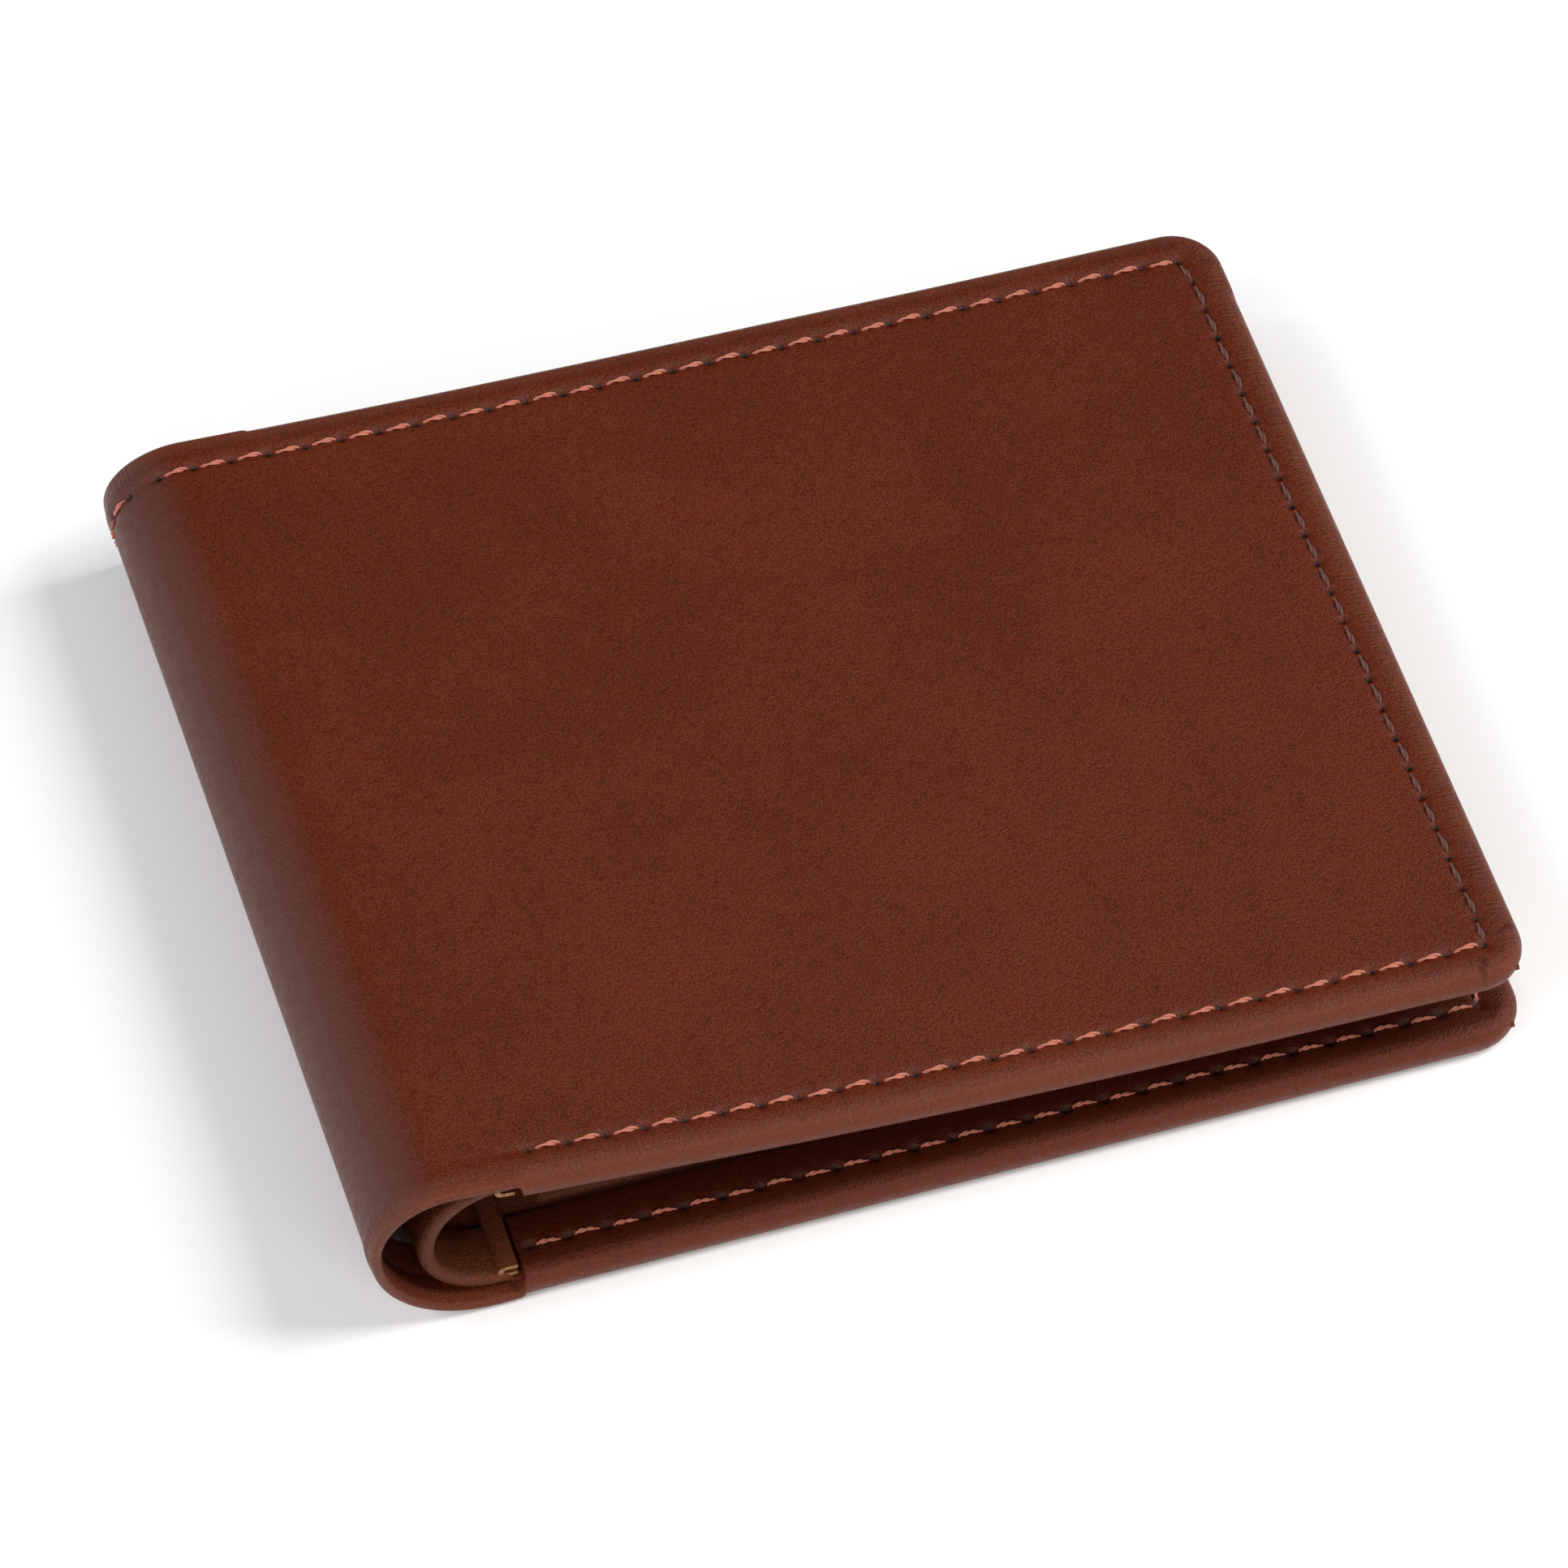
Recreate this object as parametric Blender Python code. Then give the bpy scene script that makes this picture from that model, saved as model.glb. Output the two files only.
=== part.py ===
"""Bifold leather wallet, closed, lying on its back cover. Metres, +Z up.

+X runs from the folded spine to the free edges, +Y from the bottom edge to the mouth of the bill
compartment, and Z = 0 is the flat the wallet lies on. Every layer is cut out flat, as a maker
would, in three flat coordinates: s along the wallet, y across it, and w, the depth below the
outer face. It is then wrapped round the spine. The spine is three stiff strips between the two
covers, hinged on the outer face of the leather.
"""

import math

import bmesh
import bpy
from mathutils import Vector

MM = 0.001

# Driving dimensions of the closed wallet.
WIDTH = 114 * MM
HEIGHT = 97 * MM
CORNER_RADIUS = 5 * MM
SPINE_RADIUS_BACK = 11.6 * MM
SPINE_RADIUS_FRONT = 7.5 * MM
COVER_TILT = math.radians(3.7)

# Layers, as (top, bottom) depths below the outer face. Layers that touch keep 0.15 mm of room.
OUTER_LEATHER = 0.9 * MM
LINING = (1.05 * MM, 1.25 * MM)
INNER_PANEL = (1.4 * MM, 1.9 * MM)
CARD_FLANGE = (2.05 * MM, 2.35 * MM)
HEM = (2.5 * MM, 3.1 * MM)
MOUTH_HEM = (1.45 * MM, 2.05 * MM)
CARD_POCKET_1 = (2.4 * MM, 3.2 * MM)
CARD_POCKET_2 = (3.5 * MM, 4.3 * MM)
CARD_FRONT = (4.6 * MM, 5.6 * MM)

# Room left between the strips of the spine, along each folding line.
JOINT_GAP = 0.3 * MM

# Distances in from the outer edges.
EDGE_ROLL = 1.2 * MM
EDGE_WALL = 1.1 * MM
LAYER_INSET = 1.25 * MM
CARD_RIM_INSET = 2.5 * MM
HEM_WIDTH = 7.5 * MM
STITCH_INSET = 3.75 * MM
GROOVE_WIDTH = 0.8 * MM
GROOVE_DEPTH = 0.6 * MM
THREAD_RADIUS = 0.2 * MM
THREAD_DEPTH = 0.32 * MM
THREAD_LIFT = 0.3 * MM
THREAD_SIDES = 6

# Places across the wallet, and distances from a cover's free edge towards the spine.
PANEL_TOP = 38 * MM
HEM_STEP = (38.2 * MM, 40.4 * MM)
HEM_SLIT = 99.5 * MM
SPINE_RIM = 1.35 * MM
NEAR_ROW_END = 98.5 * MM
CARD_EDGE = 101 * MM
POCKET_TOPS = {"card_pocket_1": 28 * MM, "card_pocket_2": 17 * MM, "card_panel": 6 * MM}
POCKET_SPAN = (8.7 * MM, 94.2 * MM)
POCKET_NEAR = -38.8 * MM

# Where the front leaf rises over the leaves behind it: from the free edge, and from the bottom.
LEAF_ABOVE = (7.7 * MM, 8.3 * MM, 94.9 * MM, 96.2 * MM)
LEAF_BELOW = (8.1 * MM, 8.45 * MM, 94.5 * MM, 95.2 * MM)
LEAF_STEP_ABOVE = (8.4 * MM, 9.4 * MM)
LEAF_STEP_BELOW = (9.1 * MM, 9.5 * MM)

# The inner leather turns in a smaller loop inside the spine.
LOOP_START_X = -44.6 * MM
LOOP_RADIUS_BACK = 7.6 * MM

# The four folding lines share the turn from one cover to the other evenly.
FOLDS = 4
TOTAL_TURN = math.pi + COVER_TILT
HALF_TURN = TOTAL_TURN / 2
FOLD_ANGLES = [TOTAL_TURN * (2 * i + 1) / (2 * FOLDS) for i in range(FOLDS)]

CORNER_SEGMENTS = 4
SMALLEST_CORNER = 0.4 * MM
ARC_STEP = TOTAL_TURN / 24
STATION_ROOM = 0.2 * MM
MITRE_LIMIT = 0.5
SMOOTH_ANGLE = math.radians(35)
CUT_TOLERANCE = 1e-7
BODIES = ("back_cover", "spine_1", "spine_2", "spine_3", "front_cover")


def outward(turn):
    """Direction out of the leather where the path has turned this far from the back cover."""
    return Vector((-math.sin(turn), 0, -math.cos(turn)))


def along(turn):
    """Direction of travel from the back cover, round the spine, to the front cover."""
    return Vector((-math.cos(turn), 0, math.sin(turn)))


class Wrap:
    """The path of one layer: flat on the back cover, two arcs, then flat on the front cover."""

    def __init__(self, start_x, level, back_radius, front_radius):
        self.start = Vector((start_x, 0, level))
        self.radii = (back_radius, front_radius)
        self.lengths = (back_radius * HALF_TURN, front_radius * HALF_TURN)
        self.centre_back = self.start - back_radius * outward(0)
        self.middle = self.centre_back + back_radius * outward(HALF_TURN)
        self.centre_front = self.middle - front_radius * outward(HALF_TURN)
        self.end = self.centre_front + front_radius * outward(TOTAL_TURN)
        self.bend = sum(self.lengths)

    def turn_at(self, s):
        if s <= self.lengths[0]:
            return max(s, 0) / self.radii[0]
        return min(HALF_TURN + (s - self.lengths[0]) / self.radii[1], TOTAL_TURN)

    def s_at(self, turn):
        if turn <= HALF_TURN:
            return turn * self.radii[0]
        return self.lengths[0] + (turn - HALF_TURN) * self.radii[1]

    def place(self, s, y, w):
        """World point of a flat point: s from the start of the bend, w down from the path."""
        turn = self.turn_at(s)
        if s <= 0:
            base = self.start + s * along(0)
        elif s >= self.bend:
            base = self.end + (s - self.bend) * along(TOTAL_TURN)
        elif s <= self.lengths[0]:
            base = self.centre_back + self.radii[0] * outward(turn)
        else:
            base = self.centre_front + self.radii[1] * outward(turn)
        point = base - w * outward(turn)
        return Vector((point.x, y, point.z))


OUTER = Wrap(SPINE_RADIUS_BACK - WIDTH / 2, 0, SPINE_RADIUS_BACK, SPINE_RADIUS_FRONT)
S_BACK = OUTER.start.x - WIDTH / 2
S_FRONT = OUTER.bend + (WIDTH / 2 - OUTER.end.x) / math.cos(COVER_TILT)


def inner_wrap():
    """The inner leather's path: its front arc is sized to end under the front cover's lining."""
    top = outward(TOTAL_TURN)
    level = INNER_PANEL[0]
    back = Wrap(LOOP_START_X, level, LOOP_RADIUS_BACK, 0)
    reach = OUTER.end.dot(top) - level - back.middle.dot(top)
    front_radius = reach / (1 - outward(HALF_TURN).dot(top))
    return Wrap(LOOP_START_X, level, LOOP_RADIUS_BACK, front_radius)


INNER = inner_wrap()


def cover_s(side, from_free_edge, wrap):
    """Flat s of a distance from the free edge of the back or the front cover, on this wrap."""
    if side == "back_cover":
        return S_BACK + from_free_edge + (wrap.start.x - OUTER.start.x)
    lead = (wrap.end - OUTER.end).dot(along(TOTAL_TURN))
    return S_FRONT - from_free_edge - OUTER.bend + wrap.bend - lead


def material(name, colour, roughness):
    found = bpy.data.materials.get(name)
    if found:
        return found
    made = bpy.data.materials.new(name)
    made.use_nodes = True
    shader = made.node_tree.nodes["Principled BSDF"]
    shader.inputs["Base Color"].default_value = (*colour, 1)
    shader.inputs["Roughness"].default_value = roughness
    shader.inputs["Metallic"].default_value = 0
    return made


def outer_leather_material():
    return material("outer_leather", (0.17, 0.035, 0.014), 0.42)


def inner_leather_material():
    return material("inner_leather", (0.12, 0.026, 0.011), 0.5)


def lining_material():
    return material("lining", (0.045, 0.02, 0.013), 0.85)


def thread_material():
    return material("thread", (0.62, 0.2, 0.13), 0.6)


def add_object(name, bm, surface, origin):
    """Makes the object, with its own origin on the axis that its body turns about."""
    bmesh.ops.recalc_face_normals(bm, faces=bm.faces)
    if bm.calc_volume(signed=True) < 0:
        bmesh.ops.reverse_faces(bm, faces=bm.faces)
    bmesh.ops.translate(bm, vec=-origin, verts=bm.verts)
    mesh = bpy.data.meshes.new(name)
    bm.to_mesh(mesh)
    bm.free()
    mesh.shade_smooth()
    mesh.set_sharp_from_angle(angle=SMOOTH_ANGLE)
    mesh.materials.append(surface)
    obj = bpy.data.objects.new(name, mesh)
    obj.location = origin
    bpy.context.scene.collection.objects.link(obj)
    return obj


def loft(rings):
    """A closed solid through rings of the same number of points, capped at both ends."""
    bm = bmesh.new()
    rows = [[bm.verts.new(point) for point in ring] for ring in rings]
    count = len(rows[0])
    for lower, upper in zip(rows, rows[1:]):
        for i in range(count):
            j = (i + 1) % count
            bm.faces.new((lower[i], lower[j], upper[j], upper[i]))
    bm.faces.new(reversed(rows[0]))
    bm.faces.new(rows[-1])
    return bm


def outline(s0, s1, y0, y1, radius):
    """A rounded rectangle, with points on its short sides where the hem steps down, if it gets there."""
    steps = [step for step in HEM_STEP if step < y1]
    points = []
    corners = ((s1, y0, -90), (s1, y1, 0), (s0, y1, 90), (s0, y0, 180))
    for s, y, start in corners:
        centre_s = s - radius if s == s1 else s + radius
        centre_y = y - radius if y == y1 else y + radius
        for i in range(CORNER_SEGMENTS + 1):
            angle = math.radians(start + 90 * i / CORNER_SEGMENTS)
            points.append((centre_s + radius * math.cos(angle), centre_y + radius * math.sin(angle)))
        if start == -90:
            points += [(s1, step) for step in steps]
        if start == 90:
            points += [(s0, step) for step in reversed(steps)]
    return points


def wallet_outline(inset):
    radius = max(CORNER_RADIUS - inset, SMALLEST_CORNER)
    half = HEIGHT / 2 - inset
    return outline(S_BACK + inset, S_FRONT - inset, -half, half, radius)


def towards_mouth(y):
    """0 where the hem holds the inner layers, 1 along the mouth, where it holds the lining."""
    return min(max((y - HEM_STEP[0]) / (HEM_STEP[1] - HEM_STEP[0]), 0), 1)


def edge_profile():
    """(inset, depth, depth along the mouth) from the middle of the outer face to that inside."""
    groove = (STITCH_INSET + GROOVE_WIDTH / 2, STITCH_INSET - GROOVE_WIDTH / 2)
    profile = [(groove[0], 0, 0), (groove[0], GROOVE_DEPTH, GROOVE_DEPTH)]
    profile += [(groove[1], GROOVE_DEPTH, GROOVE_DEPTH), (groove[1], 0, 0)]
    for degrees in range(-90, 91, 30):
        angle = math.radians(degrees)
        inset = EDGE_ROLL * (1 - math.cos(angle))
        share = (1 + math.sin(angle)) / 2
        profile.append((inset, HEM[1] * share, MOUTH_HEM[1] * share))
    profile += [(HEM_WIDTH, HEM[1], MOUTH_HEM[1]), (HEM_WIDTH, HEM[0], MOUTH_HEM[0])]
    profile += [(EDGE_WALL, HEM[0], MOUTH_HEM[0]), (EDGE_WALL, OUTER_LEATHER, OUTER_LEATHER)]
    return profile


def outer_shell():
    """The whole outer leather laid flat, its edges turned over into a hem all round."""
    rings = []
    for inset, depth, mouth_depth in edge_profile():
        ring = []
        for s, y in wallet_outline(inset):
            share = towards_mouth(y)
            ring.append((s, y, depth + (mouth_depth - depth) * share))
        rings.append(ring)
    return loft(rings)


def plate(s0, s1, y0, y1, depths):
    """A flat layer with the wallet's own rounded corners."""
    points = outline(s0, s1, y0, y1, CORNER_RADIUS - LAYER_INSET)
    return loft([[(s, y, depth) for s, y in points] for depth in depths])


def box(s0, s1, y0, y1, w0, w1):
    rings = [[(s0, y0, w), (s1, y0, w), (s1, y1, w), (s0, y1, w)] for w in (w0, w1)]
    return loft(rings)


def trim_flat(bm, s, keep_above):
    """Cuts the flat solid across at s, keeps one side of the cut and closes it."""
    geometry = bm.verts[:] + bm.edges[:] + bm.faces[:]
    cut = bmesh.ops.bisect_plane(
        bm,
        geom=geometry,
        dist=CUT_TOLERANCE,
        plane_co=(s, 0, 0),
        plane_no=(1, 0, 0),
        clear_inner=keep_above,
        clear_outer=not keep_above,
    )
    edges = [item for item in cut["geom_cut"] if isinstance(item, bmesh.types.BMEdge)]
    bmesh.ops.holes_fill(bm, edges=edges)


def without_spine_hem(bm):
    """Cuts the hem away between the slits, so that the leather round the spine is one layer."""
    bmesh.ops.recalc_face_normals(bm, faces=bm.faces)
    mesh = bpy.data.meshes.new("flat_shell")
    bm.to_mesh(mesh)
    bm.free()
    shell = bpy.data.objects.new("flat_shell", mesh)
    slits = [cover_s(side, HEM_SLIT, OUTER) for side in ("back_cover", "front_cover")]
    cutter_bm = box(slits[0], slits[1], -HEIGHT, HEIGHT, SPINE_RIM, 3 * HEM[1])
    bmesh.ops.recalc_face_normals(cutter_bm, faces=cutter_bm.faces)
    cutter_mesh = bpy.data.meshes.new("hem_cutter")
    cutter_bm.to_mesh(cutter_mesh)
    cutter_bm.free()
    cutter = bpy.data.objects.new("hem_cutter", cutter_mesh)
    cutter.hide_render = True
    cutter.display_type = "WIRE"
    for obj in (shell, cutter):
        bpy.context.scene.collection.objects.link(obj)
    cut = shell.modifiers.new("slit", "BOOLEAN")
    cut.operation = "DIFFERENCE"
    cut.solver = "EXACT"
    cut.object = cutter
    bpy.context.view_layer.update()
    result = bmesh.new()
    result.from_object(shell, bpy.context.evaluated_depsgraph_get())
    for obj in (shell, cutter):
        bpy.data.objects.remove(obj)
    return result


def body_span(index, wrap):
    """The flat s where this body's layers start and end, or None at a free edge."""
    start = wrap.s_at(FOLD_ANGLES[index - 1]) + JOINT_GAP / 2 if index > 0 else None
    end = wrap.s_at(FOLD_ANGLES[index]) - JOINT_GAP / 2 if index < FOLDS else None
    return start, end


def wrap_solid(bm, wrap, index):
    """Keeps one body's share of a flat solid, adds lines across it and bends it into place."""
    start, end = body_span(index, wrap)
    if start is not None:
        trim_flat(bm, start, True)
    if end is not None:
        trim_flat(bm, end, False)
    low = S_BACK if start is None else start
    high = S_FRONT if end is None else end
    for i in range(round(TOTAL_TURN / ARC_STEP) + 1):
        s = wrap.s_at(i * ARC_STEP)
        if low + STATION_ROOM < s < high - STATION_ROOM:
            geometry = bm.verts[:] + bm.edges[:] + bm.faces[:]
            bmesh.ops.bisect_plane(
                bm,
                geom=geometry,
                dist=CUT_TOLERANCE,
                plane_co=(s, 0, 0),
                plane_no=(1, 0, 0),
            )
    for vertex in bm.verts:
        vertex.co = wrap.place(*vertex.co)
    return bm


def fold_point(index):
    """Where folding line number index lies, on the outer face of the leather."""
    return OUTER.place(OUTER.s_at(FOLD_ANGLES[index]), 0, 0)


def body_origin(index):
    return fold_point(index - 1) if index > 0 else Vector((0, 0, 0))


def tube(path):
    """A thin thread along points in flat coordinates, mitred at its corners and then wrapped."""
    rings = []
    for i, point in enumerate(path):
        before = point - path[max(i - 1, 0)]
        after = path[min(i + 1, len(path) - 1)] - point
        before, after = (before or after).xy.normalized(), (after or before).xy.normalized()
        middle = (before + after).normalized()
        width = THREAD_RADIUS / max(middle.dot(after), MITRE_LIMIT)
        across = Vector((-middle.y, middle.x, 0))
        ring = []
        for k in range(THREAD_SIDES):
            angle = 2 * math.pi * k / THREAD_SIDES
            rise = Vector((0, 0, THREAD_RADIUS * math.sin(angle)))
            ring.append(point + across * width * math.cos(angle) + rise)
        rings.append(ring)
    bm = loft(rings)
    for vertex in bm.verts:
        vertex.co = OUTER.place(*vertex.co)
    return bm


def across_row(start, end, y, depth):
    """A straight row over the spine, with points close enough together to follow its arcs."""
    stations = [OUTER.s_at(i * ARC_STEP) for i in range(round(TOTAL_TURN / ARC_STEP) + 1)]
    low, high = min(start, end) + STATION_ROOM, max(start, end) - STATION_ROOM
    inside = sorted([s for s in stations if low < s < high], reverse=end < start)
    return [Vector((s, y, depth)) for s in [start, *inside, end]]


def cover_row(side, near_end, far_end, depth, mouth_depth):
    """The stitch row of one cover: bottom edge, free edge, then the mouth edge to the spine."""
    corner = CORNER_RADIUS - STITCH_INSET
    y = HEIGHT / 2 - STITCH_INSET
    free = cover_s(side, STITCH_INSET, OUTER)
    inward = 1 if side == "back_cover" else -1
    points = [Vector((near_end, -y, depth))]
    for centre_y, start in ((corner - y, -90), (y - corner, 0)):
        if start == 0:
            points += [Vector((free, HEM_STEP[0], depth)), Vector((free, HEM_STEP[1], mouth_depth))]
        for i in range(CORNER_SEGMENTS + 1):
            angle = math.radians(start + 90 * i / CORNER_SEGMENTS)
            s = free + inward * corner * (1 - math.cos(angle))
            level = mouth_depth if start == 0 else depth
            points.append(Vector((s, centre_y + corner * math.sin(angle), level)))
    return points + across_row(points[-1].x + inward * MM, far_end, y, mouth_depth)


def build_outer_leather(index):
    bm = wrap_solid(without_spine_hem(outer_shell()), OUTER, index)
    add_object(f"{BODIES[index]}_outer_leather", bm, outer_leather_material(), body_origin(index))


def build_lining(index):
    """Fabric lining of the bill compartment, laid against the outer leather all the way round."""
    half = HEIGHT / 2 - LAYER_INSET
    flat = plate(S_BACK + LAYER_INSET, S_FRONT - LAYER_INSET, -half, half, LINING)
    bm = wrap_solid(flat, OUTER, index)
    add_object(f"{BODIES[index]}_lining", bm, lining_material(), body_origin(index))


def build_inner_panel(index):
    """Inner leather: the other wall of the bill compartment, free along the mouth."""
    s0 = cover_s("back_cover", LAYER_INSET, INNER)
    s1 = cover_s("front_cover", LAYER_INSET, INNER)
    near = -HEIGHT / 2 + LAYER_INSET
    flat = plate(s0, s1, near, PANEL_TOP, (0, INNER_PANEL[1] - INNER_PANEL[0]))
    bm = wrap_solid(flat, INNER, index)
    add_object(f"{BODIES[index]}_inner_panel", bm, inner_leather_material(), body_origin(index))


def on_cover(side, bm):
    """Moves a solid made in (distance from the free edge, y, depth) onto its cover."""
    for vertex in bm.verts:
        vertex.co = OUTER.place(cover_s(side, vertex.co.x, OUTER), vertex.co.y, vertex.co.z)
    return bm


def build_card_pocket(side, index, name, depths):
    """One card slot: a leaf stacked behind the front leaf, open towards the mouth edge."""
    flat = box(*POCKET_SPAN, POCKET_NEAR, POCKET_TOPS[name], *depths)
    add_object(f"{side}_{name}", on_cover(side, flat), inner_leather_material(), body_origin(index))


def leaf_surface(bm, columns, rows, levels):
    """One face of the front leaf: a grid whose outermost lines lie low and whose middle is raised."""
    grid = []
    for j, y in enumerate(rows):
        steps = [min(i, len(columns) - 1 - i, j, len(levels) - 1) for i in range(len(columns))]
        grid.append([bm.verts.new((u, y, levels[step])) for u, step in zip(columns, steps)])
    for j in range(len(rows) - 1):
        for i in range(len(columns) - 1):
            bm.faces.new((grid[j][i], grid[j][i + 1], grid[j + 1][i + 1], grid[j + 1][i]))
    return grid


def boundary(grid):
    """The outermost points of a grid, in order."""
    right = [row[-1] for row in grid[1:-1]]
    left = [row[0] for row in grid[1:-1]]
    return grid[0] + right + grid[-1][::-1] + left[::-1]


def build_card_panel(side, index):
    """The front leaf: its rim lies under the hem, and it rises over the leaves behind it."""
    near = -HEIGHT / 2
    top = POCKET_TOPS["card_panel"]
    rim_y = near + CARD_RIM_INSET
    bm = bmesh.new()
    above = leaf_surface(
        bm,
        (CARD_RIM_INSET, *LEAF_ABOVE, CARD_EDGE),
        (rim_y, near + LEAF_STEP_ABOVE[0], near + LEAF_STEP_ABOVE[1], top),
        (CARD_FLANGE[1], CARD_FLANGE[1], CARD_FRONT[1]),
    )
    below = leaf_surface(
        bm,
        (CARD_RIM_INSET, *LEAF_BELOW, CARD_EDGE),
        (rim_y, near + LEAF_STEP_BELOW[0], near + LEAF_STEP_BELOW[1], top),
        (CARD_FLANGE[0], CARD_FLANGE[0], CARD_FRONT[0]),
    )
    upper, lower = boundary(above), boundary(below)
    for i in range(len(upper)):
        j = (i + 1) % len(upper)
        bm.faces.new((upper[i], upper[j], lower[j], lower[i]))
    add_object(f"{side}_card_panel", on_cover(side, bm), inner_leather_material(), body_origin(index))


def build_cover_threads(side, index):
    """The two threads of the lockstitch: one sunk in the outer face, one over the hem inside."""
    near_end = cover_s(side, NEAR_ROW_END, OUTER)
    fold = body_span(0, OUTER)[1] if side == "back_cover" else body_span(FOLDS, OUTER)[0]
    outer = tube(cover_row(side, near_end, fold, THREAD_DEPTH, THREAD_DEPTH))
    add_object(f"{side}_outer_thread", outer, thread_material(), body_origin(index))
    levels = [level[1] + THREAD_LIFT for level in (HEM, MOUTH_HEM)]
    inner = tube(cover_row(side, near_end, near_end, *levels))
    add_object(f"{side}_inner_thread", inner, thread_material(), body_origin(index))


def build_spine_threads(index):
    """The mouth seam where it crosses one strip of the spine: outer thread and inner thread."""
    start, end = body_span(index, OUTER)
    y = HEIGHT / 2 - STITCH_INSET
    for name, depth in (("outer", THREAD_DEPTH), ("inner", LINING[1] + THREAD_LIFT)):
        bm = tube(across_row(start, end, y, depth))
        add_object(f"{BODIES[index]}_{name}_thread", bm, thread_material(), body_origin(index))


def build():
    for obj in list(bpy.data.objects):
        bpy.data.objects.remove(obj)
    for index in range(len(BODIES)):
        build_outer_leather(index)
        build_lining(index)
        build_inner_panel(index)
    for side, index in (("back_cover", 0), ("front_cover", FOLDS)):
        build_card_pocket(side, index, "card_pocket_1", CARD_POCKET_1)
        build_card_pocket(side, index, "card_pocket_2", CARD_POCKET_2)
        build_card_panel(side, index)
        build_cover_threads(side, index)
    for index in range(1, FOLDS):
        build_spine_threads(index)


build()
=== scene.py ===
import math

import bmesh
import bpy
import numpy as np
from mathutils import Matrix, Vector


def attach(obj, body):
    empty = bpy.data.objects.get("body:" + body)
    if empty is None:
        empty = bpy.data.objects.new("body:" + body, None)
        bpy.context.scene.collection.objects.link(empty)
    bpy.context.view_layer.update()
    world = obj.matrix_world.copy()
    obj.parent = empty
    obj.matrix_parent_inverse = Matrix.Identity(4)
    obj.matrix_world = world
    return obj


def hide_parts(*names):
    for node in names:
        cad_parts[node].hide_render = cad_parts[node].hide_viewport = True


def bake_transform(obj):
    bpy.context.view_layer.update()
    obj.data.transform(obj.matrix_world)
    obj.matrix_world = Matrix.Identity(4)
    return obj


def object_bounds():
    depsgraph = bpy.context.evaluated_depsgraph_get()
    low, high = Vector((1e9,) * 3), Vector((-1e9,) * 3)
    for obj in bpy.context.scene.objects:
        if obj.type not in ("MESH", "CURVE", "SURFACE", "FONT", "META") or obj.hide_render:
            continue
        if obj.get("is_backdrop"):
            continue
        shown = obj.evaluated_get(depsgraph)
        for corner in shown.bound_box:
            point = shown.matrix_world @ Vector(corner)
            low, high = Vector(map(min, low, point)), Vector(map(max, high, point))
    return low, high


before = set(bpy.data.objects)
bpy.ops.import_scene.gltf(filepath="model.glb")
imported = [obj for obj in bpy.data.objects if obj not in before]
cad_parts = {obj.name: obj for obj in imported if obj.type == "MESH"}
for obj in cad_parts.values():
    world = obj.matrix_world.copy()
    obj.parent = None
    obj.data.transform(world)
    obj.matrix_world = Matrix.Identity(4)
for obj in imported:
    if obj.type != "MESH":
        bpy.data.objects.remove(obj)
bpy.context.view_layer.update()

MM = 0.001

# --- Camera, floor and lights -------------------------------------------------------------------
# A long lens looks down on the bottom edge, a little from the spine's side. The floor is a plain
# white sheet, and the light is soft: a big sheet on the right, one in front, a narrow one behind.

target = Vector((-3.3, -3.5, 8.0)) * MM
azimuth, elevation, distance = math.radians(-17.3), math.radians(52.1), 0.941
back = Vector((
    math.sin(azimuth) * math.cos(elevation),
    -math.cos(azimuth) * math.cos(elevation),
    math.sin(elevation),
))
bpy.ops.object.camera_add(location=target + back * distance)
camera = bpy.context.object
camera.rotation_mode = "QUATERNION"
camera.rotation_quaternion = (-back).to_track_quat("-Z", "Y")
camera.data.sensor_width = 36
camera.data.lens = 225.2
camera.data.clip_start = 0.05
camera.data.clip_end = 20
bpy.context.scene.camera = camera

bpy.ops.mesh.primitive_plane_add(size=6, location=(0, 0, -0.0002))
floor = bpy.context.object
floor.name = "floor"
paper = bpy.data.materials.new("white_paper")
paper.use_nodes = True
paper.node_tree.nodes["Principled BSDF"].inputs["Base Color"].default_value = (0.93, 0.93, 0.94, 1)
paper.node_tree.nodes["Principled BSDF"].inputs["Roughness"].default_value = 0.7
floor.data.materials.append(paper)
floor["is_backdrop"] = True


def softbox(name, location, size, energy, colour=(1, 1, 1)):
    bpy.ops.object.light_add(type="AREA", location=location)
    light = bpy.context.object
    light.name = name
    light.data.shape = "RECTANGLE"
    light.data.size, light.data.size_y = size
    light.data.energy = energy
    light.data.color = colour
    light.rotation_mode = "QUATERNION"
    light.rotation_quaternion = (Vector((0, 0, 0)) - Vector(location)).to_track_quat("-Z", "Y")
    return light


softbox("right_key", (0.95, -0.15, 0.95), (0.7, 0.9), 19, (1, 0.985, 0.96))
softbox("front_fill", (-0.1, -1.15, 0.75), (1.1, 0.5), 8, (1, 0.98, 0.95))
softbox("left_fill", (-1.0, -0.35, 0.85), (0.8, 0.8), 8.5, (1, 1, 1))
softbox("left_strip", (-0.85, 0.35, 0.5), (0.14, 0.9), 3.0, (0.97, 0.98, 1))
world = bpy.data.worlds.new("studio")
world.use_nodes = True
world.node_tree.nodes["Background"].inputs["Color"].default_value = (1, 1, 1, 1)
world.node_tree.nodes["Background"].inputs["Strength"].default_value = 0.09
bpy.context.scene.world = world
bpy.context.scene.view_settings.view_transform = "Standard"
bpy.context.scene.view_settings.exposure = 0.0

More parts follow.
